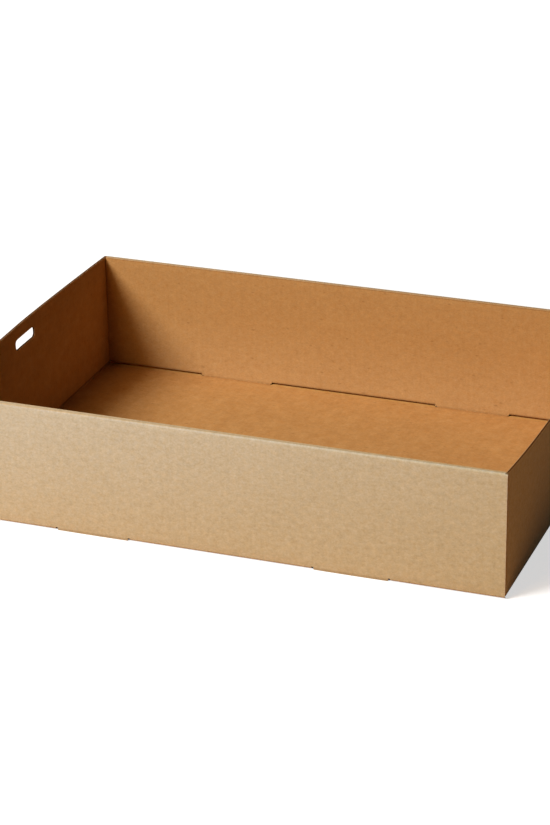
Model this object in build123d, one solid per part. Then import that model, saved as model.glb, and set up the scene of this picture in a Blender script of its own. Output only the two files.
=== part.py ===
from build123d import *
from math import cos, radians
import os

# An open cardboard tray, folded from one die-cut sheet of corrugated board and held by its own tabs.
# Each long wall is rolled over into two plies: the outer ply rises from the floor, a narrow strip crosses
# at the rim, and the inner ply comes down again and locks into the floor with two tabs. The end walls are
# a single ply with a raw top edge and a handhole. Their corner flaps are trapped between the two plies of
# the long walls.
# Where a tab's slot takes the fold away, the outer ply hangs down as a lip.
# X runs along the tray, Y across it, Z up. The origin is below the centre of the floor, level with the lower
# edges of the four lips, which the tray stands on.

# The tray as a whole, outside sizes
length = 360.0
width = 256.0
height = 80.0  # of the walls, from the underside of the floor

# The sheet
board = 1.3
fold_inside = 0.25  # inside radius of a fold

# The double long walls
ply_gap = 0.15  # air on each side of a corner flap between the two plies
end_gap = 1.0  # from an end wall's inner face to the cut end of the rolled-over ply
ply_lift = 1.6  # the inner ply's lower edge stops this far above the floor

# The lock tabs along the inner ply's lower edge, and the slots that they go through
tab_spacing = 166.4  # between the two tabs of a wall, centre to centre
tab_root = 49.0
tab_tip = 45.5
tab_drop = 0.3  # how far the tips come out below the floor
tab_flare = 1.0  # radius where a tab leaves the inner ply
tip_bow = 0.6  # the tip is this much longer at its middle than at its corners
tip_corner = 0.8
slot_clearance = 0.4  # at each end of a tab
slot_ease = 0.25  # on the inner side of a tab

# The lips of the outer ply at the slots
lip_drop = 0.5  # from the underside of the floor to the lower edge of a lip
lip_lean = 8.0  # degrees, inwards
lip_bend = 2.0  # radius of the board's middle where it begins to lean in
lip_notch = 1.3  # open between each end of a lip and the fold beside it

# The end walls
end_bow = 3.5  # the top edge stands this far out at mid width, the foot is straight
bow_power = 1.5  # 2 is an evenly round bow, 1 would be two straight halves
handhole_length = 30.0
handhole_height = 7.8
handhole_corner = 2.0
handhole_below_rim = 12.6  # from the top edge to the middle of the hole

# The corner flaps on the ends of the end walls
flap_length = 60.0
flap_taper = 2.5  # taken off the free end, above and below
flap_corner = 6.0
flap_ease = 0.3  # above and below a flap, from the nearest fold

# What follows from these sizes
fold_outside = fold_inside + board
fold_middle = fold_inside + board / 2
outer_ply = width / 2 - board / 2  # middle of the outer ply
flap_face = width / 2 - board - ply_gap  # outer face of the corner flaps
inner_ply_back = flap_face - board - ply_gap  # face of the inner ply that touches the flaps
inner_ply = inner_ply_back - board / 2  # middle of the inner ply
rolled_length = length - 2 * (board + end_gap)
end_width = 2 * (flap_face - fold_outside)  # of an end wall, between its corner folds
flap_root = length / 2 - fold_outside
slot_half = tab_root / 2 + slot_clearance
lip_half = slot_half - lip_notch


def floor_panel():
    """The floor, between the four folds at the feet of the walls."""
    size = Box(length - 2 * fold_outside, width - 2 * fold_outside, board)
    return Pos(0, 0, board / 2) * size


def outer_wall():
    """The fold at the foot of a long wall and its outer ply, up to the middle of the crease at the rim."""
    foot = JernArc((width / 2 - fold_outside, board / 2), (1, 0), fold_middle, 90)
    rise = Line(foot @ 1, (outer_ply, height - fold_outside))
    half_crease = JernArc(rise @ 1, (0, 1), fold_middle, 45)
    section = trace([foot, rise, half_crease], board)
    return extrude(Plane.YZ * section, length / 2, both=True)


def rolled_rim():
    """The strip across the top of a long wall, with the crease on each side of it."""
    over = JernArc((outer_ply, height - fold_outside), (0, 1), fold_middle, 90)
    strip = Line(over @ 1, (inner_ply + fold_middle, height - board / 2))
    down = JernArc(strip @ 1, (-1, 0), fold_middle, 90)
    section = trace([over, strip, down], board)
    return extrude(Plane.YZ * section, rolled_length / 2, both=True)


def lock_tab():
    """The outline of one tab: tapered from its root, with a bowed tip."""
    corner = tip_bow - tab_drop
    root = board + ply_lift
    sides = Polyline(
        (-tab_tip / 2, corner),
        (-tab_root / 2, root),
        (tab_root / 2, root),
        (tab_tip / 2, corner),
    )
    tip = ThreePointArc(sides @ 1, (0, -tab_drop), sides @ 0)
    return make_face([sides, tip])


def inner_wall():
    """The inner ply of a long wall with its tabs, from the crease down to just above the floor."""
    top = height - fold_outside
    foot = board + ply_lift
    outline = Pos(0, (top + foot) / 2) * Rectangle(rolled_length, top - foot)
    for side in (-1, 1):
        outline += Pos(side * tab_spacing / 2, 0) * lock_tab()
    levels = outline.vertices().group_by(Axis.Y)
    outline = fillet(levels[1].sort_by(Axis.X)[1:-1], tab_flare)
    outline = fillet(outline.vertices().group_by(Axis.Y)[0], tip_corner)
    return extrude(Plane.XZ.offset(-inner_ply_back) * outline, board)


def tab_slot():
    """A slot in one long edge of the floor. It takes the floor and the fold, but nothing above the fold."""
    inner_edge = inner_ply_back - board - slot_ease
    deep = width / 2 - inner_edge + board
    return Pos(0, inner_edge + deep / 2, 0) * Box(2 * slot_half, deep, 2 * fold_outside)


def lip():
    """The outer ply going on down where a slot has taken its fold: it leans in, and ends level."""
    bend = JernArc((outer_ply, fold_outside), (0, -1), lip_bend, -lip_lean)
    reach = (fold_outside + lip_drop) / cos(radians(lip_lean))
    hang = Line(bend @ 1, bend @ 1 + bend % 1 * reach)
    plate = extrude(Plane.YZ * trace([bend, hang], board), lip_half, both=True)
    below = Pos(0, outer_ply, -lip_drop - board) * Box(length, width / 2, 2 * board)
    return plate - below


def end_wall():
    """The fold at the foot of an end wall and the wall, which bows outwards towards its top edge."""
    foot = JernArc((flap_root, board / 2), (1, 0), fold_middle, 90)
    fold = extrude(Plane.XZ * trace(foot, board), end_width / 2, both=True)
    low = Edge.make_line(
        (length / 2, -end_width / 2, fold_outside),
        (length / 2, end_width / 2, fold_outside),
    )
    shares = [step / 5 for step in range(-5, 6)]
    high = Edge.make_spline(
        [
            Vector(length / 2 + end_bow * (1 - abs(share) ** bow_power), share * end_width / 2, height)
            for share in shares
        ]
    )
    outside = Face.make_surface_from_curves(low, high)
    wall = extrude(outside, board, dir=(-1, 0, 0))
    grip = RectangleRounded(handhole_length, handhole_height, handhole_corner)
    grip = Plane.YZ.offset(length / 2) * Pos(0, height - handhole_below_rim) * grip
    hole = extrude(grip, board + end_bow, both=True)
    return fold + (wall - hole)


def corner_flap():
    """The upright fold at one end of an end wall, and the flap that it carries between the plies."""
    turn = JernArc((length / 2 - board / 2, end_width / 2), (0, 1), fold_middle, 90)
    low = fold_outside + flap_ease
    high = height - fold_outside - flap_ease
    fold = extrude(Plane.XY.offset(low) * trace(turn, board), height - low)
    tip = flap_root - flap_length
    outline = make_face(
        Polyline(
            (flap_root, low),
            (flap_root, high),
            (tip, high - flap_taper),
            (tip, low + flap_taper),
            close=True,
        )
    )
    outline = fillet(outline.vertices().group_by(Axis.X)[0], flap_corner)
    return fold + extrude(Plane.XZ.offset(-flap_face) * outline, board)


def mirrored(piece, plane):
    """A piece and its mirror image."""
    return piece + mirror(piece, plane)


at_slot = Pos(tab_spacing / 2, 0, 0)
tray = floor_panel() + mirrored(outer_wall(), Plane.XZ)
tray -= mirrored(mirrored(at_slot * tab_slot(), Plane.XZ), Plane.YZ)
tray += mirrored(mirrored(at_slot * lip(), Plane.XZ), Plane.YZ)
tray += mirrored(rolled_rim() + inner_wall(), Plane.XZ)
tray += mirrored(end_wall() + mirrored(corner_flap(), Plane.XZ), Plane.YZ)
tray = Pos(0, 0, lip_drop) * tray

os.makedirs("parts", exist_ok=True)
export_step(tray, "parts/tray.step")
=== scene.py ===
# %% [markdown]
# # A cardboard tray, folded from one sheet
#
# This lesson dresses the plain model of an open tray box in its real material: fine-flute corrugated board,
# paler outside than inside. Flat panels with a modifier for their thickness would be quicker, but the real
# tray is a single die-cut sheet, and its folds, rolled rims and lock tabs look right only as one sheet. So
# the sheet is drawn flat first, as a grid of numbers, and a formula then folds it. Everything that belongs
# to the paper, such as its fibres and its flutes, is drawn on the flat sheet too and follows it round
# every fold.
#
# First the packed model is loaded. Its box says where the dressed tray has to end up.

# %% Load the packed model
import math

import bpy
import numpy as np
from mathutils import Matrix, Vector


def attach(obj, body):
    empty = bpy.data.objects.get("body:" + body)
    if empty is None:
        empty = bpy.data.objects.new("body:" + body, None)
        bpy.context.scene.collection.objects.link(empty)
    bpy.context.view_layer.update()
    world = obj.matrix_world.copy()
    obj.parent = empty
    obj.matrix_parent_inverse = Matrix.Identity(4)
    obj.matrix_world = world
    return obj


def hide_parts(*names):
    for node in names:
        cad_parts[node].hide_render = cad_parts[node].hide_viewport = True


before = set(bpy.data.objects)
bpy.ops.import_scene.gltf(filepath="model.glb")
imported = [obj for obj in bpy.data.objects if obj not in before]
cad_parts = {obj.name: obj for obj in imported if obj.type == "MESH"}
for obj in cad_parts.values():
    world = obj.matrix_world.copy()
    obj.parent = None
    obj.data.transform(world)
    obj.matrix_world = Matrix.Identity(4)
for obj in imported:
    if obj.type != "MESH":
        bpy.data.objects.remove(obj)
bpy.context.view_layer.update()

# %% [markdown]
# ## Sizes
#
# All sizes are in millimetres until the mesh is filled, because a sheet 1.3 mm thick is easier to think of
# that way. They are the sizes of the model, so the sheet lands where the model is. Only small chance
# differences of the real tray are added here: a closer fit of the tabs in their slots and of the
# rolled-over plies between the end walls, lips with a slightly bowed edge, and a handhole of its own size.

# %% Sizes of the tray, in millimetres
MM = 0.001
LENGTH, WIDTH, HEIGHT = 360.0, 256.0, 80.0
BOARD = 1.3
FOLD_INSIDE = 0.25
FOLD_OUTSIDE = FOLD_INSIDE + BOARD
FOLD_MIDDLE = FOLD_INSIDE + BOARD / 2
FOLD_ARC = FOLD_MIDDLE * math.pi / 2  # of the sheet's middle, in a square fold
PLY_GAP = 0.15  # air on each side of a corner flap
END_GAP = 0.3  # from an end wall to the cut end of the rolled-over part
TAB_DROP = 0.3  # of a tab's tip below the floor panel
FOOT_LIFT = 1.5  # of the inner ply above the floor panel
LIP_DROP = 0.5  # of a lip below the floor panel
LIP_BOW, LIP_BEND, LIP_LEAN = 0.15, 2.0, math.radians(8)

ROLLED_HALF = LENGTH / 2 - BOARD - END_GAP  # half the length of the rolled-over part
FLAP_FACE = WIDTH / 2 - BOARD - PLY_GAP  # outer face of a corner flap
INNER_BACK = FLAP_FACE - BOARD - PLY_GAP  # the inner ply's face that touches the flap
STRIP = (WIDTH / 2 - FOLD_OUTSIDE) - (INNER_BACK + FOLD_INSIDE)  # flat of the rim
print("rolled-over part", round(2 * ROLLED_HALF, 1), "mm long, with a flat rim of", round(STRIP, 2), "mm")

# %% [markdown]
# ## Lines on the flat sheet
#
# The flat sheet lies in u (along the tray) and v (across it), with the middle of the floor at 0, 0. Folds
# and cuts are straight lines in one of the two directions, so a grid made of all those lines, with more
# lines between them, has every fold and every cut on a grid line. These are the lines' places for u and v
# above 0. The other half is their mirror image.

# %% Lines across the sheet: the end walls, their handholes and their corner flaps
FLAP_EASE = 0.3  # from a corner flap's long edges to the folds beside them
GRIP_BELOW_RIM = 12.3
GRIP_HALF_HEIGHT, GRIP_HALF_LENGTH, GRIP_CORNER = 3.6, 14.5, 2.8

U_FOLD = LENGTH / 2 - FOLD_OUTSIDE  # floor to end wall
U_WALL = U_FOLD + FOLD_ARC
U_TOP = U_WALL + HEIGHT - FOLD_OUTSIDE
U_SLIT = U_WALL + FLAP_EASE  # lower edge of a corner flap
U_FLAP = U_TOP - FOLD_OUTSIDE - FLAP_EASE  # upper edge of a corner flap
U_GRIP = U_TOP - GRIP_BELOW_RIM
print("end walls from", round(U_WALL, 2), "to", round(U_TOP, 2), "mm, handholes at", round(U_GRIP, 2), "mm")

# %% Lines along the sheet: the long walls, from the floor over the rim to the tabs
FLAP_LENGTH, FLAP_TAPER, FLAP_CORNER = 60.0, 2.5, 6.0
TAB_PLACE, TAB_HALF, TAB_HALF_TIP, TAB_FLARE = 83.2, 24.5, 22.75, 0.6
TIP_BOW, TIP_CORNER = 0.6, 0.8
SLOT_EASE, SLOT_AIR = 0.12, 0.1  # between a tab and its slot, on the inner side and at each end
LIP_NOTCH = 1.3  # open between each end of a lip and the fold beside it

V_SLOT = INNER_BACK - BOARD - SLOT_EASE  # inner edge of the tab slots
V_TURN = FLAP_FACE - FOLD_OUTSIDE  # end wall to corner flap
V_FLAP = V_TURN + FOLD_ARC
V_TIP = V_FLAP + FLAP_LENGTH
V_FOLD = WIDTH / 2 - FOLD_OUTSIDE  # floor to outer ply
V_WALL = V_FOLD + FOLD_ARC
V_CREASE = V_WALL + HEIGHT - 2 * FOLD_OUTSIDE  # outer ply to rim
V_NARROW = V_CREASE + FOLD_ARC / 2  # from the middle of this crease on the sheet is shorter
V_STRIP = V_CREASE + FOLD_ARC
V_CREASE_2 = V_STRIP + STRIP  # rim to inner ply
V_OVER = V_CREASE_2 + FOLD_ARC / 2  # the middle of this crease
V_INNER = V_CREASE_2 + FOLD_ARC
V_FOOT = V_INNER + HEIGHT - FOLD_OUTSIDE - BOARD - FOOT_LIFT
TAB_LONG = BOARD + FOOT_LIFT + TAB_DROP
V_TABS = V_FOOT + TAB_LONG
SLOT_HALF = TAB_HALF + SLOT_AIR
LIP_HALF = SLOT_HALF - LIP_NOTCH
# A lip is its bend, and then as much as it takes to come down to the level that the tray stands on
LIP_LONG = LIP_BEND * LIP_LEAN
LIP_LONG += (FOLD_OUTSIDE + LIP_DROP - (LIP_BEND + BOARD / 2) * math.sin(LIP_LEAN)) / math.cos(LIP_LEAN)
V_LIP = V_WALL - LIP_LONG  # outer edge of the tab slots
print("flat sheet", round(2 * U_TOP, 1), "by", round(2 * V_TABS, 1), "mm")


# %% [markdown]
# ## The grid
#
# Between two neighbouring fold or cut lines the grid gets as many lines as it needs. Round corners get
# lines that crowd towards the corner, as the sine of an even angle does, and folds get six or eight even
# steps, which is enough for a bend of one millimetre radius.


# %% Three ways to make lines
def filled(stops, widest=5.0):
    """The stops, with even steps of at most the given width between each two of them."""
    stops = np.unique(np.round(stops, 6))
    steps = [np.linspace(a, b, max(2, math.ceil((b - a) / widest) + 1))[:-1] for a, b in zip(stops, stops[1:])]
    return np.append(np.concatenate(steps), stops[-1])


def crowded(start, end, count):
    """Places from start to end that crowd towards the end: the sine of an even angle."""
    return start + (end - start) * np.sin(np.linspace(0, math.pi / 2, count))


def both_ways(lines):
    """The lines and their mirror image."""
    return np.unique(np.round(np.concatenate([-lines, lines]), 6))


print("crowded from 0 to 6:", crowded(0, 6, 5).round(2).tolist())

# %% Make the grid of the flat sheet
GRIP_REACH = 2.2  # the grid follows a handhole's corners out to so many times its half height
GRIP_FADE = 5  # and so many millimetres past its ends

# From a tab's middle: its side, its slot's end, its tip's round corner, and its lip's end
tab_sides = [TAB_HALF, SLOT_HALF, TAB_HALF - TIP_CORNER, TAB_HALF - 0.3 * TIP_CORNER, TAB_HALF - 0.08]
tab_sides += [LIP_HALF, LIP_HALF - 0.6, TAB_HALF + 2]
u_lines = both_ways(filled(np.concatenate([
    [0, ROLLED_HALF, U_FOLD, LENGTH / 2, U_SLIT, U_FLAP, U_TOP],
    np.linspace(U_FOLD, U_WALL, 7),
    U_GRIP + GRIP_HALF_HEIGHT * np.array([-GRIP_REACH, -1.5, -1, 0, 1, 1.5, GRIP_REACH]),
    [U_SLIT + FLAP_CORNER, U_FLAP - FLAP_CORNER],
    *[TAB_PLACE + side * np.array(tab_sides) for side in (-1, 1)],
])))
v_lines = both_ways(filled(np.concatenate([
    [0, V_SLOT, V_TURN, V_FLAP, V_LIP, V_FOLD],
    crowded(GRIP_HALF_LENGTH - GRIP_CORNER, GRIP_HALF_LENGTH, 6),
    GRIP_HALF_LENGTH + np.array([1, 2.5, GRIP_FADE]),
    np.linspace(V_TURN, V_FLAP, 7),
    crowded(V_TIP - FLAP_CORNER, V_TIP, 7),
    np.linspace(V_FOLD, V_WALL, 7),
    np.linspace(V_CREASE, V_NARROW, 5),
    np.linspace(V_NARROW, V_STRIP, 5),
    np.linspace(V_STRIP, V_CREASE_2, 5),
    np.linspace(V_CREASE_2, V_INNER, 9),
    # A tab's root and its flare, the floor's upper face, and the tab's round corner and tip
    V_FOOT + np.array([0, 0.08, 0.35, 1.0, FOOT_LIFT, TAB_LONG - TIP_CORNER, TAB_LONG]),
])))
U, V = np.meshgrid(u_lines, v_lines, indexing="ij")
print("grid", U.shape, "lines")


# %% [markdown]
# ## Cutting the sheet
#
# A cell of the grid is board or it isn't. Its middle says which panel it is in: the floor, the two long
# walls with their tabs and lips, the two end walls, or the flaps on the end walls' ends. What is left
# over, the four slots and the two handholes, is air. A slot is cut beside the fold. So the strip of the
# fold next to it stays flat and hangs down as a lip when the wall is folded up.


# %% Mark the cells that are board
def inside(x, low, high):
    """True where x is between low and high."""
    return (x > low) & (x < high)


cell_u = np.abs((U[1:, 1:] + U[:-1, 1:]) / 2)
cell_v = np.abs((V[1:, 1:] + V[1:, :-1]) / 2)
near_tab = np.abs(cell_u - TAB_PLACE)
slots = (near_tab < SLOT_HALF) & inside(cell_v, V_SLOT, V_WALL)
grips = inside(cell_u, U_GRIP - GRIP_HALF_HEIGHT, U_GRIP + GRIP_HALF_HEIGHT) & (cell_v < GRIP_HALF_LENGTH)
panels = {
    "floor": inside(cell_u, -1, U_FOLD) & inside(cell_v, -1, V_FOLD) & ~slots,
    "outer plies": inside(cell_u, -1, LENGTH / 2) & inside(cell_v, V_FOLD, V_NARROW) & ~slots,
    "lips": (near_tab < LIP_HALF) & inside(cell_v, V_LIP, V_WALL),
    "rolled plies": inside(cell_u, -1, ROLLED_HALF) & inside(cell_v, V_NARROW, V_FOOT),
    "tabs": (near_tab < TAB_HALF) & inside(cell_v, V_FOOT, V_TABS),
    "end walls": inside(cell_u, U_FOLD, U_TOP) & (cell_v < V_TURN) & ~grips,
    "upright folds": inside(cell_u, U_SLIT, U_TOP) & inside(cell_v, V_TURN, V_FLAP),
    "corner flaps": inside(cell_u, U_SLIT, U_FLAP) & inside(cell_v, V_FLAP, V_TIP),
}
board_cells = np.any(list(panels.values()), axis=0)
areas = np.diff(u_lines)[:, None] * np.diff(v_lines)[None, :]
square_metres = float(areas[board_cells].sum()) * MM**2
print("board:", round(square_metres, 3), "square metres in", int(board_cells.sum()), "cells")


# %% [markdown]
# ## Rounding the cuts
#
# Four cuts aren't square: the tapered flaps, the tabs with their bowed tips, the lips' bowed edges, and the
# round corners of the handholes. They could be cut out of the finished mesh, but that leaves ragged faces.
# Here the grid lines near them are bent to the cut instead, and each bend dies away before the next fold.


# %% A ramp and a round corner
SAME = 0.001  # places nearer together than this are the same line


def ramp(x, start, end):
    """0 up to the start, 1 past the end, and even in between. The end may be below the start."""
    return np.clip((x - start) / (end - start), 0, 1)


def corner_loss(to_side, radius):
    """How much a round corner takes off, at a distance from the side: radius less a circle's height."""
    inward = np.clip(radius - to_side, 0, radius)
    return radius - np.sqrt(radius**2 - inward**2)


print("a flap's corner takes off", corner_loss(np.array([0.0, 1.0, 3.0]), FLAP_CORNER).round(2).tolist(), "mm")


# %% Bend the grid to the corner flaps
def bend_flaps(u, v):
    """The flaps' two long edges come nearer towards the tip, evenly and then round a corner."""
    on_flap = (np.abs(u) > U_SLIT - SAME) & (np.abs(v) > V_FLAP - SAME)
    along = np.clip(np.abs(v) - V_FLAP, 0, FLAP_LENGTH)
    loss = FLAP_TAPER * along / FLAP_LENGTH + corner_loss(FLAP_LENGTH - along, FLAP_CORNER)
    share = (np.abs(u) - U_SLIT) / (U_FLAP - U_SLIT)
    bent = U_SLIT + loss + share * (U_FLAP - U_SLIT - 2 * loss)
    return np.where(on_flap & (share <= 1), np.sign(u) * bent, u), v


u_cut, v_cut = bend_flaps(U, V)
print("largest bend at the flaps", round(float(np.abs(u_cut - U).max()), 2), "mm")

# %% Bend the grid to the tabs
FLARE_UP, FLARE_BESIDE = 12, 8  # how far above and beside a tab's root the grid still follows its flare


def bend_tabs(u, v):
    """The tabs' sides flare at the root and lean in towards the tip, and the tip bows out at its middle."""
    past = np.abs(u) - TAB_PLACE
    beside, down = np.abs(past), np.abs(v) - V_FOOT
    on_tab = (down > -SAME) & (beside < TAB_HALF + SAME)
    flare = np.where(down > -SAME, corner_loss(down, TAB_FLARE), TAB_FLARE * ramp(down, -FLARE_UP, 0))
    spread = flare * ramp(np.abs(beside - TAB_HALF), FLARE_BESIDE, 0)
    lean = (TAB_HALF - TAB_HALF_TIP) * ramp(down, FOOT_LIFT, TAB_LONG) * beside / TAB_HALF
    moved = np.sign(past) * (beside + spread - np.where(on_tab, lean, 0))
    u_new = np.where(np.abs(v) > V_FOOT - FLARE_UP, np.sign(u) * (TAB_PLACE + moved), u)
    short = TIP_BOW * (beside / TAB_HALF) ** 2 + corner_loss(TAB_HALF - beside, TIP_CORNER)
    v_new = np.where(on_tab, np.sign(v) * (V_FOOT + down * (1 - short / TAB_LONG)), v)
    return u_new, v_new


u_cut, v_cut = bend_tabs(u_cut, v_cut)
print("a tab is", round(TAB_LONG, 2), "mm long, and", round(TAB_LONG - TIP_BOW - TIP_CORNER, 2), "mm at its sides")

# %% Bend the grid to the lips
LIP_REACH, LIP_REACH_FROM = 1.1, 0.7  # the back lips' ends go out by so much, from so far inside them on


def bend_lips(u, v):
    """The lower edge of a lip is an arc: its middle hangs lowest. The back lips reach nearer to the folds."""
    past = np.abs(u) - TAB_PLACE
    on_lip = (np.abs(past) < LIP_HALF + SAME) & (np.abs(v) > V_LIP - SAME) & (np.abs(v) < V_WALL)
    longer = np.where(on_lip & (v > 0), LIP_REACH * ramp(LIP_HALF - np.abs(past), LIP_REACH_FROM, 0), 0)
    shorter = LIP_BOW * (past / LIP_HALF) ** 2 * (V_WALL - np.abs(v)) / LIP_LONG
    return u + np.sign(u) * np.sign(past) * longer, np.where(on_lip, v + np.sign(v) * shorter, v)


u_cut, v_cut = bend_lips(u_cut, v_cut)
print("a lip is", round(LIP_LONG, 2), "mm long and the slot behind it", round(V_LIP - V_SLOT, 2), "mm wide")


# %% Bend the grid to the handholes
def bend_grips(u, v):
    """Near a handhole the two long edges come in towards its middle line, as a round corner does."""
    past, beyond = np.abs(u) - U_GRIP, np.abs(v) - GRIP_HALF_LENGTH
    loss = corner_loss(-beyond, GRIP_CORNER) * ramp(beyond, GRIP_FADE, 0)
    reach = np.abs(past) / GRIP_HALF_HEIGHT
    share = np.where(reach <= 1, reach, ramp(reach, GRIP_REACH, 1))
    return np.sign(u) * (U_GRIP + past - np.sign(past) * loss * share), v


u_cut, v_cut = bend_grips(u_cut, v_cut)
print("largest bend of the whole grid", round(float(np.hypot(u_cut - U, v_cut - V).max()), 2), "mm")


# %% [markdown]
# ## Folding by formula
#
# Folding is a function from the flat sheet to the tray. w goes through the sheet, from 0 on its outside
# liner to the board's thickness on its inside liner. A long wall is a path in the plane across the tray:
# the sheet's heading is level on the floor, turns a quarter in the fold at the foot, goes up, turns at the
# rim, crosses it, turns again and comes down. The path is the running sum of the heading's cosine and
# sine, and w is measured square to it. Bones or hinges could fold the sheet too, but a path keeps the
# paper's length, and its round folds come for nothing.


# %% The path of a long wall and its two plies
VALLEY = 0.30  # heading, in radians, that the rim's strip dips and rises by between its two creases
PATH_POINTS = 60001
QUARTERS = np.array([  # places on the sheet, and the quarter turns made up to there
    [0, 0], [V_FOLD, 0], [V_WALL, 1], [V_CREASE, 1], [V_STRIP, 2], [V_CREASE_2, 2], [V_INNER, 3], [V_TABS + 1, 3],
])

path_s = np.linspace(0, V_TABS + 1, PATH_POINTS)
path_heading = np.interp(path_s, QUARTERS[:, 0], QUARTERS[:, 1] * math.pi / 2)
path_heading += VALLEY * np.sin(2 * math.pi * ramp(path_s, V_NARROW, V_OVER))
middle_heading = (path_heading[1:] + path_heading[:-1]) / 2
path_y = np.append(0, np.cumsum(np.cos(middle_heading) * np.diff(path_s)))
path_z = np.append(0, np.cumsum(np.sin(middle_heading) * np.diff(path_s))) + BOARD / 2


def long_wall_path(s, w):
    """Across the tray and up: the path's point, moved square to the heading by w from the sheet's middle."""
    heading = np.interp(s, path_s, path_heading)
    y = np.interp(s, path_s, path_y) - np.sin(heading) * (w - BOARD / 2)
    z = np.interp(s, path_s, path_z) + np.cos(heading) * (w - BOARD / 2)
    return y, z


rim_check = long_wall_path(np.array([V_WALL, V_CREASE, V_INNER, V_FOOT]), np.zeros(4))
print("outer liner of a long wall, across and up:", np.round(rim_check, 2).tolist())

# %% [markdown]
# An end wall is a single ply with a raw top edge. It stands on a quarter circle, and its free top edge is
# bowed a little outwards, because the corner flaps hold it only at its ends. The flaps turn once more,
# about an upright line. A formula for each of the two turns is enough: sine and cosine of the angle.

# %% The path of an end wall, its bow and its flaps
END_BOW = 3.5  # outwards, at the middle of the top edge
BOW_LEFT, BOW_RIGHT = 1.5, 2.8  # powers: 2 is an evenly round bow, more is a fuller one


def end_wall_path(s, w):
    """Along the tray and up: level, then a quarter circle at the foot, then straight up."""
    angle = np.clip((s - U_FOLD) / FOLD_MIDDLE, 0, math.pi / 2)
    reach = FOLD_OUTSIDE - w
    x = np.minimum(s, U_FOLD) + reach * np.sin(angle)
    z = FOLD_OUTSIDE - reach * np.cos(angle) + np.clip(s - U_WALL, 0, None)
    return x, z


def bow(u, y, z):
    """How far an end wall stands out: most at its middle, less to its ends and its foot, fuller at the right."""
    to_end = np.minimum(np.abs(y), V_TURN) / V_TURN
    return END_BOW * (1 - to_end ** np.where(u > 0, BOW_RIGHT, BOW_LEFT)) * ramp(z, FOLD_OUTSIDE, HEIGHT)


def flap_path(t, w):
    """Seen from above, past the end of an end wall: a quarter circle, then straight back along the tray."""
    angle = np.clip(t / FOLD_MIDDLE, 0, math.pi / 2)
    reach = FOLD_OUTSIDE - w
    x = U_FOLD + reach * np.cos(angle) - np.clip(t - FOLD_ARC, 0, None)
    y = V_TURN + reach * np.sin(angle)
    return x, y


half_way = bow(np.array([-1.0, 1.0]), np.array([V_TURN / 2] * 2), np.array([HEIGHT] * 2))
print("bow of the left and the right end wall, half way to their ends:", half_way.round(2).tolist(), "mm")

# %% [markdown]
# Last come the lips, which lean in below the outer plies, and the small errors of cutting and folding. On
# the real tray some tabs and one handhole sit a millimetre or two beside their middle. Such shifts are
# added to the folded points, and fade out round each cut, so that no fold is bent by them.

# %% The lips, and the cuts that landed beside their middle
FRONT_SHIFT = 1.9  # of the front wall's tabs and lips, towards the right
BACK_SHIFT, BACK_WIDER = 2.0, 1.1  # of the back wall's right tab, and of both its tabs on each side
GRIP_SHIFT = -1.5  # of the left handhole, towards the front


def lip_path(down, w):
    """Across the tray and up: from the foot of the outer ply straight down, after a short bend inwards."""
    angle = np.clip(down / LIP_BEND, 0, LIP_LEAN)
    straight = np.clip(down - LIP_BEND * LIP_LEAN, 0, None)
    out = BOARD / 2 - w
    y = WIDTH / 2 - BOARD / 2 - LIP_BEND * (1 - np.cos(angle)) - straight * np.sin(angle) + out * np.cos(angle)
    z = FOLD_OUTSIDE - LIP_BEND * np.sin(angle) - straight * np.cos(angle) - out * np.sin(angle)
    return y, z


def off_middle(u, v):
    """The shifts along x, of tabs, slots and lips, and along y, of the left handhole, each with its fade."""
    near_slots = ramp(np.abs(v), V_SLOT - 30, V_SLOT - 5)
    front = FRONT_SHIFT * (v < 0) * ramp(np.abs(u), LENGTH / 2 - 10, LENGTH / 2 - 60)
    past = np.abs(u) - TAB_PLACE
    fade = ramp(np.abs(past), TAB_HALF + 42, TAB_HALF + 2)
    wider = BACK_WIDER * np.sign(u) * np.clip(past / TAB_HALF, -1, 1)
    back = (v > 0) * fade * (wider + BACK_SHIFT * (u > 0))
    left = ramp(-u, U_WALL + 20, U_WALL + 40) * ramp(np.abs(v), V_TURN, V_TURN - 60)
    return (front + back) * near_slots, GRIP_SHIFT * left


lip_check = lip_path(np.array([0.0, LIP_LONG]), np.zeros(2))
print("outer liner of a lip, across and up:", np.round(lip_check, 2).tolist())


# %% Fold the sheet
def fold(u, v, w):
    """The place in the tray of each point u, v, w of the flat sheet: its panel's own path, in millimetres."""
    x_shift, y_shift = off_middle(u, v)
    a, b = np.abs(u), np.abs(v)
    y_long, z_long = long_wall_path(b, w)
    y_lip, z_lip = lip_path(V_WALL - b, w)
    in_slot = np.abs(a - TAB_PLACE) < SLOT_HALF - 0.05  # a lip ends well short of its slot's two ends
    on_lip = in_slot & (b > V_LIP - SAME) & (b < V_WALL)
    y_long, z_long = np.where(on_lip, y_lip, y_long), np.where(on_lip, z_lip, z_long)
    x_end, z_end = end_wall_path(a, w)
    x_flap, y_flap = flap_path(b - V_TURN, w)
    in_long = (a <= LENGTH / 2 + SAME) & (b >= V_FOLD - SAME) | on_lip
    in_flap = ~in_long & (b > V_TURN + SAME) & (a > U_FOLD + SAME)
    in_end = ~in_long & ~in_flap & (a > U_FOLD)
    x = np.where(in_end, x_end + bow(u, v + y_shift, z_end), np.where(in_flap, x_flap, a))
    y = np.where(in_long, y_long, np.where(in_flap, y_flap, b))
    z = np.where(in_long, z_long, np.where(in_end | in_flap, z_end, w))
    z = np.where(in_flap, FOLD_OUTSIDE + (a - U_WALL), z)
    return np.stack([np.sign(u) * x + x_shift, np.sign(v) * y + y_shift, z + LIP_DROP], axis=-1)


top_middle = fold(np.array([-U_TOP, U_TOP]), np.zeros(2), np.zeros(2))
print("outside of the two end walls at the middle of the rim:", top_middle.round(2).tolist())


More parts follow.
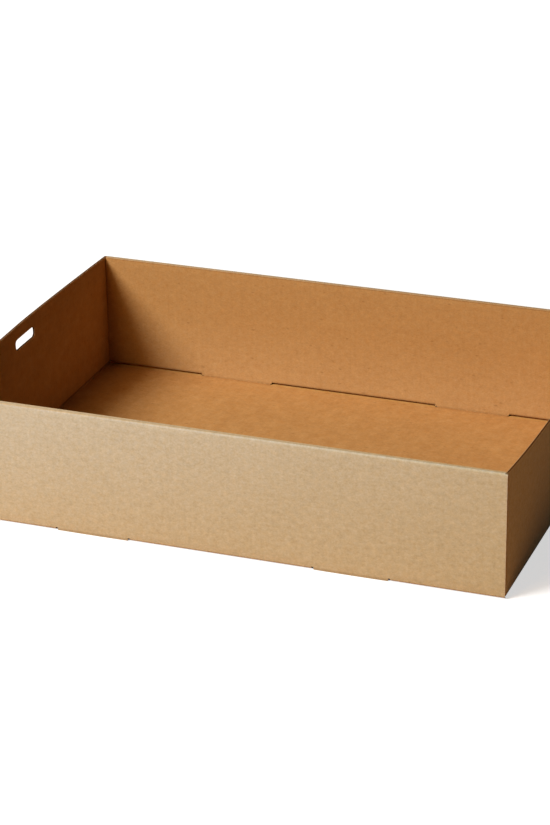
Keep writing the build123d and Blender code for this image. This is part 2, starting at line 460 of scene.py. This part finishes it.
# %% [markdown]
# ## The two liners and the cut edges
#
# The board's two faces are the folded grid at w = 0 and at w = the board's thickness. Round every cut, a
# strip of faces joins them. Between the two liners the cut shows the hollow of the flutes, so the strip
# dips into the sheet there. A Solidify modifier would give a plain square edge. Where a grid edge has board
# on one side only, it is a cut.


# %% Number the points and find the cut edges
def cut_edges(cells, ids):
    """Pairs of points along every cut, with the board on the left: the cell edges whose other cell is air."""
    padded = np.pad(cells, 1)
    low, high = padded[1:-1, :-1], padded[1:-1, 1:]  # the cells below and above each edge along u
    left, right = padded[:-1, 1:-1], padded[1:, 1:-1]  # the cells before and after each edge along v
    u_start, u_end = ids[:-1, :], ids[1:, :]
    v_start, v_end = ids[:, :-1], ids[:, 1:]
    runs = [
        (u_start, u_end, high & ~low),
        (u_end, u_start, low & ~high),
        (v_end, v_start, right & ~left),
        (v_start, v_end, left & ~right),
    ]
    return np.concatenate([np.stack([first[cut], second[cut]], 1) for first, second, cut in runs])


used = np.zeros(U.shape, bool)
for part_u in (slice(0, -1), slice(1, None)):
    for part_v in (slice(0, -1), slice(1, None)):
        used[part_u, part_v] |= board_cells
count = int(used.sum())
number = np.full(U.shape, -1)
number[used] = np.arange(count)
edges = cut_edges(board_cells, number)
flat_u, flat_v = u_cut[used], v_cut[used]
print("points on a liner", count, "and cut edges", len(edges))


# %% Find which way the board lies from each point of a cut
def inward_steps(pairs):
    """At each point of a cut, the step into the board that keeps both neighbouring edges' distance at 1.

    It is twice the sum of the two edges' directions turned to the left, divided by that sum's square."""
    start, end = pairs.T
    along = np.stack([flat_u[end] - flat_u[start], flat_v[end] - flat_v[start]], 1)
    along /= np.linalg.norm(along, axis=1, keepdims=True)
    left = np.stack([-along[:, 1], along[:, 0]], 1)
    total = np.zeros((count, 2))
    np.add.at(total, start, left)
    np.add.at(total, end, left)
    return total * 2 / np.maximum((total**2).sum(1, keepdims=True), 0.5)


step = inward_steps(edges)
on_cut = np.unique(edges)
cut_number = np.full(count, -1)
cut_number[on_cut] = np.arange(len(on_cut))
print("points on a cut", len(on_cut))

# %% Stack the points: outside liner, inside liner, then the four rows of the cut
LINER = 0.2  # thickness of each of the board's two faces
HOLLOW = 1.0  # how deep the hollow between the liners shows at a cut
PRESSED_HOLLOW = 0.15  # the same at the rim's ends, which the creases press shut

rows = [(LINER, 0.0), (LINER, 1.0), (BOARD - LINER, 1.0), (BOARD - LINER, 0.0)]  # w, and share of the hollow
hollow = np.where(inside(np.abs(flat_v[on_cut]), V_CREASE - 1, V_INNER + 1), PRESSED_HOLLOW, HOLLOW)
sheet_u, sheet_v = [flat_u, flat_u], [flat_v, flat_v]
sheet_w = [np.zeros(count), np.full(count, BOARD)]
for w, share in rows:
    sheet_u.append(flat_u[on_cut] + step[on_cut, 0] * share * hollow)
    sheet_v.append(flat_v[on_cut] + step[on_cut, 1] * share * hollow)
    sheet_w.append(np.full(len(on_cut), w))
sheet_u, sheet_v, sheet_w = (np.concatenate(x) for x in (sheet_u, sheet_v, sheet_w))
points = fold(sheet_u, sheet_v, sheet_w) * MM
print("points", len(points), "from", points.min(0).round(4).tolist(), "to", points.max(0).round(4).tolist())

# %% [markdown]
# ## Faces and mesh
#
# Every cell of board gives a face on each liner, and every cut edge gives five, one under the other. The
# order of a face's corners says which side is its outside, so the outside liner's faces are the inside
# liner's turned round. The arrays go into the mesh as they are, and each point also keeps its place on
# the flat sheet, as an attribute that the materials will read. No unwrapping is needed that way.

# %% Make the faces, all of them outwards
corners = np.stack([number[:-1, :-1], number[1:, :-1], number[1:, 1:], number[:-1, 1:]], -1)[board_cells]
inside_faces = corners + count
outside_faces = corners[:, ::-1]
ladder = [edges]
ladder += [cut_number[edges] + 2 * count + k * len(on_cut) for k in range(len(rows))]
ladder.append(edges + count)
cut_faces = np.concatenate([
    np.stack([upper[:, 1], upper[:, 0], lower[:, 0], lower[:, 1]], 1) for lower, upper in zip(ladder, ladder[1:])
])
faces = np.concatenate([outside_faces, inside_faces, cut_faces])
print("faces", len(faces))

# %% Fill the mesh
mesh = bpy.data.meshes.new("folded_sheet")
mesh.vertices.add(len(points))
mesh.vertices.foreach_set("co", points.astype(np.float32).ravel())
mesh.loops.add(faces.size)
mesh.loops.foreach_set("vertex_index", faces.astype(np.int32).ravel())
mesh.polygons.add(len(faces))
mesh.polygons.foreach_set("loop_start", np.arange(0, faces.size, 4, dtype=np.int32))
mesh.polygons.foreach_set("loop_total", np.full(len(faces), 4, dtype=np.int32))
mesh.update(calc_edges=True)
sheet_place = mesh.attributes.new("sheet_place", "FLOAT_VECTOR", "POINT")
sheet_place.data.foreach_set("vector", np.stack([sheet_u, sheet_v, sheet_w], 1).astype(np.float32).ravel())
print("edges", len(mesh.edges), "and attribute", sheet_place.name)

# %% Give each face its finish, and keep the edges of the cuts sharp
OUTSIDE, INSIDE, RAW_CUT = 0, 1, 2

cell_high_v = np.maximum(np.abs(V[1:, 1:]), np.abs(V[1:, :-1]))[board_cells]
outer_finish = np.where(cell_high_v > V_OVER + 0.01, INSIDE, OUTSIDE)  # brown too where it faces the inside
finishes = [outer_finish, np.full(len(inside_faces), INSIDE), np.full(len(cut_faces), RAW_CUT)]
mesh.polygons.foreach_set("material_index", np.concatenate(finishes).astype(np.int32))
mesh.polygons.foreach_set("use_smooth", np.ones(len(faces), bool))


def edge_keys(pairs):
    """One number for each pair of points, the same whichever of the two comes first."""
    pairs = np.sort(pairs, axis=1).astype(np.int64)
    return pairs[:, 0] * len(points) + pairs[:, 1]


edge_points = np.zeros(len(mesh.edges) * 2, np.int32)
mesh.edges.foreach_get("vertices", edge_points)
sharp = np.isin(edge_keys(edge_points.reshape(-1, 2)), edge_keys(np.concatenate(ladder)))
mesh.attributes.new("sharp_edge", "BOOLEAN", "EDGE").data.foreach_set("value", sharp)
print("sharp edges", int(sharp.sum()))

# %% Put the sheet in the scene, in the place of the model's plain tray
sheet = bpy.data.objects.new("folded_sheet", mesh)
bpy.context.scene.collection.objects.link(sheet)
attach(sheet, "root")
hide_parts("tray")
print("triangles", 2 * len(faces), "valid:", not mesh.validate(verbose=False))


# %% [markdown]
# ## Materials without pictures
#
# A material is a tree of nodes that turns the place on the sheet into a colour. Long trees are hard to
# follow as single calls, so a small class gives the common nodes plain names.


# %% Small helpers for shader nodes
class Nodes:
    """Adds nodes to the tree of a material or the world. An input is a number, a colour or an output."""

    def __init__(self, owner):
        owner.use_nodes = True
        self.tree = owner.node_tree
        self.tree.nodes.clear()

    def add(self, kind, inputs=None, **settings):
        """One node, with its settings and its inputs by name or number."""
        node = self.tree.nodes.new(kind)
        for name, value in settings.items():
            setattr(node, name, value)
        for name, value in (inputs or {}).items():
            if isinstance(value, bpy.types.NodeSocket):
                self.tree.links.new(value, node.inputs[name])
            else:
                node.inputs[name].default_value = value
        return node

    def math(self, operation, a, b=0.5, clamp=False):
        """The result of one sum."""
        return self.add("ShaderNodeMath", {0: a, 1: b}, operation=operation, use_clamp=clamp).outputs[0]

    def plus(self, a, b):
        """One number added to another."""
        return self.math("ADD", a, b)

    def minus(self, a, b):
        """The second number taken from the first."""
        return self.math("SUBTRACT", a, b)

    def times(self, a, b):
        """One number times another."""
        return self.math("MULTIPLY", a, b)

    def larger(self, a, b):
        """The larger of two numbers."""
        return self.math("MAXIMUM", a, b)

    def off(self, value, place=0.0):
        """How far a value is from a place, to either side."""
        return self.math("ABSOLUTE", self.minus(value, place) if place else value)

    def stretch(self, value, low, high, to_low=0.0, to_high=1.0):
        """A value's range moved to another range, and cut off at its ends."""
        node = self.add("ShaderNodeMapRange", {0: value, 1: low, 2: high, 3: to_low, 4: to_high}, clamp=True)
        return node.outputs[0]

    def line(self, value, place, half_width):
        """1 where the value is at the place, falling evenly to 0 at the half width on both sides."""
        return self.stretch(self.off(value, place), half_width, 0.0)

    def wave(self, value, pitch):
        """A sine of the value, from -1 to 1, with one wave per pitch."""
        return self.math("SINE", self.times(value, 2 * math.pi / pitch))

    def mix(self, share, a, b):
        """Two colours mixed: share 0 is the first."""
        node = self.add("ShaderNodeMix", {0: share, 6: a, 7: b}, data_type="RGBA")
        return node.outputs[2]

    def tinted(self, share, colour, factor):
        """A colour times a factor for each of red, green and blue, where the share is 1."""
        inputs = {0: share, 6: colour, 7: factor}
        return self.add("ShaderNodeMix", inputs, data_type="RGBA", blend_type="MULTIPLY").outputs[2]

    def noise(self, place, scale, detail=2.0, roughness=0.5):
        """Cloudy noise between about 0 and 1, with a mean of about a half."""
        inputs = {"Vector": place, "Scale": scale, "Detail": detail, "Roughness": roughness}
        return self.add("ShaderNodeTexNoise", inputs).outputs["Fac"]

    def turned(self, place, angle, scale):
        """The place turned about the sheet's upright by an angle in degrees, then scaled along each axis."""
        inputs = {"Vector": place, "Rotation": (0, 0, math.radians(angle)), "Scale": scale}
        return self.add("ShaderNodeMapping", inputs, vector_type="POINT").outputs[0]

    def on_sheet(self):
        """The place on the flat sheet, in millimetres, that the mesh carries: u, v and w as one vector."""
        return self.add("ShaderNodeAttribute", attribute_name="sheet_place").outputs["Vector"]

    def parts(self, vector):
        """The three numbers of a vector."""
        return self.add("ShaderNodeSeparateXYZ", {0: vector}).outputs[:3]

    def seen(self):
        """1 for what the camera, a reflection or a clear part shows, and 0 for light that bounces about."""
        ray = self.add("ShaderNodeLightPath").outputs
        return self.larger(self.larger(ray["Is Camera Ray"], ray["Is Transmission Ray"]), ray["Is Glossy Ray"])


def rgb(r, g, b):
    """A colour from its linear red, green and blue."""
    return (r, g, b, 1.0)


print("helpers:", [name for name in vars(Nodes) if not name.startswith("_")])


# %% [markdown]
# ## Paper
#
# Kraft paper is a felt of brown fibres. From afar it is an even brown with soft clouds, nearer it shows
# short fibres and a few dark flecks. A picture of paper would do, but it repeats and has one size. Here
# layers of noise are added to one tone between a dark and a light brown, each with its own scale in
# millimetres and its own share. They read the place on the flat sheet, so they run round the folds as they
# do on real board. Both papers show the flutes underneath as very faint stripes.

# %% The paper of a liner
FLUTE_PITCH = 3.55
WARM = rgb(1.04, 0.97, 0.85)
FLECK = rgb(0.5, 0.42, 0.4)


def paper(name, dark, light, grain_share, mottle_share, fleck_share, marks):
    """A liner: clouds, fibres two ways, grain, flecks and the flutes' stripes, and then its own marks."""
    material = bpy.data.materials.new(name)
    n = Nodes(material)
    place = n.on_sheet()
    clouds = n.noise(place, 0.16, 4.0, 0.6)
    blotches = n.noise(place, 0.02, 2.0)
    fibres_1 = n.noise(n.turned(place, 12, (0.45, 2.6, 1)), 1.0, 3.0, 0.6)
    fibres_2 = n.noise(n.turned(place, 74, (0.6, 2.6, 1)), 1.0, 3.0, 0.6)
    fibres = n.plus(fibres_1, n.times(fibres_2, 0.6))
    grain = n.noise(place, 0.8, 4.0, 0.75)
    mottle = n.noise(n.turned(place, 0, (0.24, 0.36, 0.3)), 1.0, 4.0, 0.65)
    flutes = n.wave(n.parts(place)[0], FLUTE_PITCH)

    tone = 0.5
    for pattern, mean, share in (
        (clouds, 0.5, 0.45),
        (blotches, 0.5, 0.2),
        (fibres, 0.8, 0.7),
        (grain, 0.5, grain_share),
        (mottle, 0.5, mottle_share),
    ):
        tone = n.plus(tone, n.times(n.minus(pattern, mean), share))
    tone = n.math("ADD", tone, n.times(flutes, 0.02), clamp=True)
    warmth = n.noise(n.turned(place, 40, (1, 1, 1)), 0.3, 4.0, 0.7)
    colour = n.tinted(n.stretch(warmth, 0.3, 0.7), n.mix(tone, dark, light), WARM)

    # Flecks: the middles of a few of the cells of a Voronoi pattern, each cell picked by its own colour
    cells = n.add("ShaderNodeTexVoronoi", {"Vector": n.turned(place, 30, (0.7, 1.3, 1)), "Scale": 0.28})
    middles = n.stretch(cells.outputs["Distance"], 0.30, 0.10)
    flecks = n.times(middles, n.stretch(n.parts(cells.outputs["Color"])[0], 0.80, 0.98))
    colour = marks(n, n.tinted(n.times(flecks, fleck_share), colour, FLECK), place)

    height = n.plus(n.plus(n.times(fibres, 0.5), n.times(flutes, 0.25)), n.times(grain, 0.5))
    bumped = n.add("ShaderNodeBump", {"Strength": 0.3, "Distance": 0.06 * MM, "Height": height})
    surface = n.add("ShaderNodeBsdfPrincipled", {
        "Base Color": colour,
        "Roughness": n.stretch(grain, 0.2, 0.8, 0.78, 0.92),
        "Normal": bumped.outputs[0],
        "Specular IOR Level": 0.08,
    })
    n.add("ShaderNodeOutputMaterial", {"Surface": surface.outputs[0]})
    return material


print("flutes across the floor:", round(2 * U_FOLD / FLUTE_PITCH))

# %% [markdown]
# ## Painted sheen, highlight and shade, and scuffing, on the outside
#
# The outside is a pale kraft. A painted sheen makes it palest towards the rim and the left end. Painted shade
# makes dark lines along the rim's creases, with a pale edge of painted highlight and scuffing before the first
# one and along the upright ends of the outer plies. The rim's top is tinted browner, which takes part of the
# sheen back off it, and the back rim and the lips get painted shade. Each of these could be put in a picture,
# but a mark that follows a fold is simply a range of v. So each is a tint, and a ramp or a line in u or v says
# where.

# %% The marks of the outside liner
# Tints: a painted sheen, a painted highlight with scuffing, the rim's browner tone and painted shades
PAINTED_SHEEN, SCUFF_AND_HIGHLIGHT = rgb(1.03, 1.20, 1.60), rgb(1.04, 1.02, 1.12)
RIM, PAST_RIM, BACK_RIM_SHADE = rgb(1.12, 0.97, 0.83), rgb(0.95, 0.80, 0.64), rgb(0.94, 0.85, 0.80)
CREASE_SHADE, CREASE_SHADE_2 = rgb(0.80, 0.71, 0.62), rgb(0.88, 0.85, 0.82)
LIP_SHADE = rgb(0.86, 0.85, 0.84)
CREASE_SKEW = 0.95  # the first crease's marks lie so much higher at the right end than at the left


def outside_marks(n, colour, place):
    """Painted sheen towards the rim and the left end, painted highlight with scuffing and painted shade at the
    creases, a browner rim, and painted shade on the back rim and the lips.
    """
    along, across, _ = n.parts(place)
    u, v = n.off(along), n.off(across)
    # Painted sheen: paler and bluer towards the rim and the left end
    up, left = n.stretch(v, V_WALL, V_CREASE), n.stretch(along, LENGTH / 2, -LENGTH / 2)
    sheen = n.plus(n.plus(n.times(up, 0.375), n.times(left, 0.33)), n.times(n.times(up, left), 0.53))
    colour = n.tinted(sheen, colour, PAINTED_SHEEN)

    to_crease = n.minus(v, n.stretch(along, -LENGTH / 2, LENGTH / 2, 0.0, CREASE_SKEW))
    fuzz = n.stretch(n.noise(place, 0.5, 4.0, 0.7), 0.3, 0.7)
    # Painted highlight with scuffing: a pale line before the first crease and along the outer plies' upright ends
    scuffs_and_highlight = n.larger(n.line(to_crease, V_CREASE, 0.5), n.line(u, LENGTH / 2 - 0.1, 0.6))
    colour = n.tinted(n.times(scuffs_and_highlight, fuzz), colour, SCUFF_AND_HIGHLIGHT)
    # The rim's top browner, which takes part of the painted sheen back off it
    colour = n.tinted(n.stretch(to_crease, V_CREASE + 0.1, V_CREASE + 0.5), colour, RIM)
    colour = n.tinted(n.stretch(v, V_CREASE_2 - 0.5, V_CREASE_2 + 0.2), colour, PAST_RIM)
    # Painted shade: dark lines along the rim's two creases
    colour = n.tinted(n.line(to_crease, V_CREASE + 0.65, 0.6), colour, CREASE_SHADE)
    colour = n.tinted(n.line(v, V_CREASE_2 + 0.75, 0.4), colour, CREASE_SHADE_2)
    # Painted shade: the back rim darker and browner than the front one
    colour = n.tinted(n.stretch(across, V_CREASE + 0.1, V_CREASE + 0.5), colour, BACK_RIM_SHADE)

    lips = n.times(n.stretch(v, V_WALL, V_WALL - 0.6), n.stretch(v, V_SLOT, V_LIP))
    lips = n.times(lips, n.stretch(n.off(u, TAB_PLACE), LIP_HALF + 1.2, LIP_HALF + 1.0))
    return n.tinted(lips, colour, LIP_SHADE)


outside_liner = paper(
    "outside_liner", rgb(0.345, 0.287, 0.166), rgb(0.50, 0.439, 0.292),
    grain_share=1.45, mottle_share=1.1, fleck_share=0.15, marks=outside_marks,
)
print("outside liner:", len(outside_liner.node_tree.nodes), "nodes")

# %% [markdown]
# ## What shows inside
#
# The inside is a browner paper. The floor has faint stains. Dark lines are painted shade where the sheet is
# creased or cut: the folds at the feet of the end walls, the rim's second crease, and, as painted contact
# shadow, the lower edge of the inner ply and the edges of the slots. A painted sheen makes the back wall a
# little paler low down, the back of the floor is tinted a little paler, and painted light lifts the gaps where
# the sheet lies behind the inner ply. The broad shadows aren't painted: they come from the lamps.

# %% The marks of the inside liner
STAINED, FLOOR_TONE, PALE_FLOOR = rgb(0.93, 0.90, 0.86), rgb(1.035, 1.05, 1.07), rgb(1.035, 1.045, 1.05)
BACK_WALL, LOW_BACK_SHEEN = rgb(0.95, 0.97, 0.99), rgb(1.07, 1.16, 1.34)
SLIT_PAINTED_LIGHT, BEHIND_PLY_PAINTED_LIGHT = rgb(1.2, 1.2, 1.05), rgb(1.5, 1.4, 1.12)
CREASE_AND_CONTACT_SHADE = rgb(0.55, 0.46, 0.38)


def inside_marks(n, colour, place):
    """A stained floor, gentle ramps of tone over the back wall and floor with a painted sheen low on the back
    wall, painted light in the gaps, and last the painted shade of the dark lines.
    """
    along, across, _ = n.parts(place)
    u, v = n.off(along), n.off(across)
    on_floor = n.stretch(v, V_FOLD, V_SLOT)
    stains = n.stretch(n.noise(n.turned(place, 0, (1, 0.7, 1)), 0.13, 4.0, 0.65), 0.38, 0.62)
    colour = n.tinted(n.times(on_floor, stains), colour, STAINED)
    colour = n.tinted(on_floor, colour, FLOOR_TONE)
    colour = n.tinted(n.stretch(across, V_STRIP, V_INNER), colour, BACK_WALL)
    # Painted sheen: paler and bluer low on the back wall
    colour = n.tinted(n.stretch(across, V_INNER + 32, V_FOOT - 5), colour, LOW_BACK_SHEEN)
    pale_floor = n.times(n.times(n.stretch(across, 20, 80), on_floor), n.stretch(along, -130, -60))
    colour = n.tinted(pale_floor, colour, PALE_FLOOR)

    at_tab = n.stretch(n.off(u, TAB_PLACE), TAB_HALF + 0.3, TAB_HALF - 0.3)
    below_wall = n.stretch(v, V_WALL + 4, V_WALL + 3)
    # Painted light: paler in and just before the slits between the tabs, where they lie in shade
    slit_light = n.times(n.times(n.stretch(v, V_SLOT - 2, V_SLOT), below_wall), n.minus(1.0, at_tab))
    colour = n.tinted(slit_light, colour, SLIT_PAINTED_LIGHT)
    # Painted light: paler in the gap behind the inner ply
    colour = n.tinted(n.times(n.stretch(v, V_FOLD - 1.2, V_FOLD - 0.7), below_wall), colour, BEHIND_PLY_PAINTED_LIGHT)

    # Painted shade: dark lines at the end walls' foot folds and the rim's second crease, and painted contact
    # shadow at the inner ply's lower edge and at the slots by the tabs
    fold_line = n.stretch(n.off(u, (U_FOLD + U_WALL) / 2 + 1.0), 1.3, 0.75)
    ply_foot = n.times(n.line(v, V_FOOT, 1.4), n.minus(0.85, at_tab))
    tab_foot = n.larger(n.line(v, V_SLOT, 4.0), n.line(v, V_FOOT + FOOT_LIFT, 1.5))
    slot_edge = n.times(tab_foot, n.times(at_tab, 0.38))
    crease = n.line(v, V_CREASE_2 + 0.75, 0.6)
    dark = n.larger(n.larger(fold_line, ply_foot), n.larger(crease, slot_edge))
    return n.tinted(n.times(dark, 0.9), colour, CREASE_AND_CONTACT_SHADE)


inside_liner = paper(
    "inside_liner", rgb(0.37, 0.175, 0.055), rgb(0.55, 0.308, 0.117),
    grain_share=1.0, mottle_share=0.7, fleck_share=0.4, marks=inside_marks,
)
print("inside liner:", len(inside_liner.node_tree.nodes), "nodes")

# %% [markdown]
# ## Raw edge
#
# A cut through the board shows its build: a thin line for each liner, and between them the waved paper of
# the flutes, with the hollows on both sides of it painted dark as shade. Modelling the wave would take a
# hundred times the faces for an edge of 1.3 mm, so it is drawn. The wave's height is a sine of u, because
# the flutes run across the tray. So a cut along the flutes shows a straight line, and a cut across them a
# wave, both from one formula. Where the rim's creases pressed the edge shut, there is no air, and the cut
# faces of the handholes get a painted shade.

# %% The raw edge
FLUTE_HEIGHT = 0.34  # of the wave, to each side of the board's middle
FLUTE_EDGE, FLUTE_CORE = 0.16, 0.09  # half the drawn thickness of the flute paper, with and without its blur
PRESSED_PAPER = rgb(0.52, 0.38, 0.22)
OUTER_HALF, GRIP_CUT_SHADE = rgb(0.5, 0.34, 0.2), rgb(0.5, 0.42, 0.35)


def raw_edge(name, liner, air):
    """The colour of the liners, and between them the flute paper's line at half the board plus a sine of u."""
    material = bpy.data.materials.new(name)
    n = Nodes(material)
    place = n.on_sheet()
    u, v, w = n.parts(place)
    v = n.off(v)
    wave = n.times(n.wave(u, FLUTE_PITCH), FLUTE_HEIGHT)
    off_wave = n.off(n.minus(n.minus(w, BOARD / 2), wave))
    medium = n.stretch(off_wave, FLUTE_EDGE, FLUTE_CORE)
    liners = n.stretch(n.off(w, BOARD / 2), BOARD / 2 - LINER - 0.04, BOARD / 2 - LINER)
    paper_share = n.larger(liners, n.times(medium, 0.6))

    fuzzy = n.mix(n.noise(place, 2.2, 3.0, 0.7), rgb(liner[0] * 0.8, liner[1] * 0.78, liner[2] * 0.74), liner)
    fuzzy = n.tinted(n.stretch(w, BOARD / 2, 0.3), fuzzy, OUTER_HALF)
    # Painted shade: the handholes' cut faces tinted a darker brown, like the shaded wall
    below_rim = n.stretch(n.off(u), U_TOP - 6, U_TOP - 7)
    at_grip = n.times(n.stretch(v, GRIP_HALF_LENGTH + 2, GRIP_HALF_LENGTH + 1), below_rim)
    fuzzy = n.tinted(at_grip, fuzzy, GRIP_CUT_SHADE)
    pressed = n.times(n.stretch(v, V_CREASE - 0.5, V_CREASE), n.stretch(v, V_INNER + 0.5, V_INNER))
    # Between the paper lines the colour is the air's: painted shade in the flutes' hollows
    colour = n.mix(pressed, n.mix(paper_share, air, fuzzy), PRESSED_PAPER)
    surface = n.add("ShaderNodeBsdfPrincipled", {
        "Base Color": colour, "Roughness": 0.95, "Specular IOR Level": 0.08,
    })
    n.add("ShaderNodeOutputMaterial", {"Surface": surface.outputs[0]})
    return material


# The air colour is painted shade in the flutes' hollows
raw_cut = raw_edge("raw_cut", liner=rgb(0.58, 0.37, 0.19), air=rgb(0.07, 0.028, 0.008))
for material in (outside_liner, inside_liner, raw_cut):
    mesh.materials.append(material)
print("finishes", [m.name for m in mesh.materials])

# %% [markdown]
# ## The floor
#
# The tray stands on a plain pale floor. To the camera the floor is white where it is lit and grey in the
# tray's shadow: a grey surface that takes the shadow, plus a glow that lifts it to white. The glow stops
# just inside the tray's footprint, so that none of it shines up through the slots. All other rays meet a
# warm floor instead, because the photograph's shaded end wall is lit by soft brown light from below.

# %% Make the floor
FLOOR_HALF = 6.0  # metres
FLOOR_BOUNCE, FLOOR_GREY = rgb(0.76, 0.38, 0.15), rgb(0.55, 0.55, 0.55)
GLOW_NEAR, GLOW_FAR = (0.3, 0.62), (0.8, 1.0)  # distance from the tray's middle in metres, and strength
GLOW_INSET = 2.2  # millimetres inside the tray's footprint


def floor_material():
    """A mix by kind of ray: grey plus glow for what is seen, a warm matt floor for light that bounces."""
    material = bpy.data.materials.new("pale_floor")
    n = Nodes(material)
    place = n.add("ShaderNodeNewGeometry").outputs["Position"]
    far = n.add("ShaderNodeVectorMath", {0: place}, operation="LENGTH").outputs["Value"]
    x, y, _ = n.parts(place)
    past_end = n.minus(n.off(x), (LENGTH / 2 - GLOW_INSET) * MM)
    past_side = n.minus(n.off(y), (WIDTH / 2 - GLOW_INSET) * MM)
    around = n.stretch(n.larger(past_end, past_side), -0.2 * MM, 0.2 * MM)
    strength = n.times(n.stretch(far, GLOW_NEAR[0], GLOW_FAR[0], GLOW_NEAR[1], GLOW_FAR[1]), around)
    grey = n.add("ShaderNodeBsdfDiffuse", {"Color": FLOOR_GREY})
    glow = n.add("ShaderNodeEmission", {"Color": rgb(1, 1, 1), "Strength": strength})
    both = n.add("ShaderNodeAddShader", {0: grey.outputs[0], 1: glow.outputs[0]})
    bounce = n.add("ShaderNodeBsdfDiffuse", {"Color": FLOOR_BOUNCE})
    mixed = n.add("ShaderNodeMixShader", {0: n.seen(), 1: bounce.outputs[0], 2: both.outputs[0]})
    n.add("ShaderNodeOutputMaterial", {"Surface": mixed.outputs[0]})
    return material


floor_mesh = bpy.data.meshes.new("studio_floor")
floor_corners = [(x * FLOOR_HALF, y * FLOOR_HALF, 0) for x, y in ((-1, -1), (1, -1), (1, 1), (-1, 1))]
floor_mesh.from_pydata(floor_corners, [], [(0, 1, 2, 3)])
floor_mesh.materials.append(floor_material())
studio_floor = bpy.data.objects.new("studio_floor", floor_mesh)
bpy.context.scene.collection.objects.link(studio_floor)
print("floor", 2 * FLOOR_HALF, "m square")

# %% [markdown]
# ## World and lamps
#
# The photograph has one soft main light, high at the front left. Its shadow edge runs from the upper back
# left corner down over the back wall, and it is a little warmer in the half shadow. So a round neutral
# lamp stands on the line that gives that edge, and a smaller, weaker and warm one stands nearer to the
# middle. The world is white to look at and gives the tray only a weak warm fill.

# %% The world
world = bpy.data.worlds.new("studio")
bpy.context.scene.world = world
sky = Nodes(world)
fill = sky.add("ShaderNodeBackground", {"Color": rgb(1.0, 0.80, 0.62), "Strength": 0.003})
white = sky.add("ShaderNodeBackground", {"Color": rgb(1, 1, 1), "Strength": 1.0})
mixed = sky.add("ShaderNodeMixShader", {0: sky.seen(), 1: fill.outputs[0], 2: white.outputs[0]})
sky.add("ShaderNodeOutputWorld", {"Surface": mixed.outputs[0]})
print("world:", len(world.node_tree.nodes), "nodes")

# %% The two lamps
LAMP_DISTANCE = 2.6  # metres
LAMP_AIM = (0, 0, 0.04)


def lamp_place(slope):
    """The lamps' distance times the direction (-slope, -1, 1), from the tray's upper back left corner."""
    direction = np.array([-slope, -1.0, 1.0])
    direction *= LAMP_DISTANCE / np.linalg.norm(direction)
    return tuple(direction + np.array([-LENGTH, WIDTH, 2 * HEIGHT]) * MM / 2)


def lamp(name, at, size, power, colour):
    """A soft area lamp in the shape of a disk, with its -Z axis pointing at the tray."""
    data = bpy.data.lights.new(name, "AREA")
    data.shape, data.size, data.energy, data.color = "DISK", size, power, colour
    obj = bpy.data.objects.new(name, data)
    bpy.context.scene.collection.objects.link(obj)
    obj.location = at
    obj.rotation_euler = (Vector(LAMP_AIM) - Vector(at)).to_track_quat("-Z", "Y").to_euler()
    return obj


key = lamp("key", lamp_place(0.70), size=1.02, power=88.0, colour=(1.0, 1.0, 1.0))
warm = lamp("warm", lamp_place(0.28), size=0.80, power=16.0, colour=(1.0, 0.62, 0.25))
print("lamps at", np.round(key.location, 2).tolist(), np.round(warm.location, 2).tolist())

# %% [markdown]
# ## The camera
#
# The camera was fitted to the photograph's corners and edges: its place, where it looks, a slight roll,
# and a long lens. Its three axes are worked out from the angles, which is easier to check than a chain of
# turns. The back axis points from the tray to the eye, and the other two are square to it.

# %% Place the camera
EYE = (0.5676, -1.5422, 0.7608)
AZIMUTH, ELEVATION, ROLL = (math.radians(x) for x in (20.504, 23.666, 0.730))


def camera_axes(azimuth, elevation, roll):
    """The camera's right, up and back axes as the columns of a matrix, turned by the roll about the last."""
    level = math.cos(elevation)
    back = Vector((math.sin(azimuth) * level, -math.cos(azimuth) * level, math.sin(elevation)))
    right = Vector((math.cos(azimuth), math.sin(azimuth), 0))
    up = back.cross(right)
    rolled_right = right * math.cos(roll) - up * math.sin(roll)
    rolled_up = right * math.sin(roll) + up * math.cos(roll)
    return Matrix((rolled_right, rolled_up, back)).transposed().to_4x4()


camera_data = bpy.data.cameras.new("camera")
camera_data.sensor_width, camera_data.lens = 36.0, 123.253
camera_data.clip_start, camera_data.clip_end = 0.05, 40
camera = bpy.data.objects.new("camera", camera_data)
bpy.context.scene.collection.objects.link(camera)
bpy.context.scene.camera = camera
camera.matrix_world = camera_axes(AZIMUTH, ELEVATION, ROLL)
camera.location = EYE
bpy.context.scene.view_settings.view_transform = "Standard"
print("camera at", EYE, "with a lens of", round(camera_data.lens, 1), "mm")

# %% [markdown]
# ## The end
#
# The dressed tray has to stay the size of the model, and the sizes above are the model's.
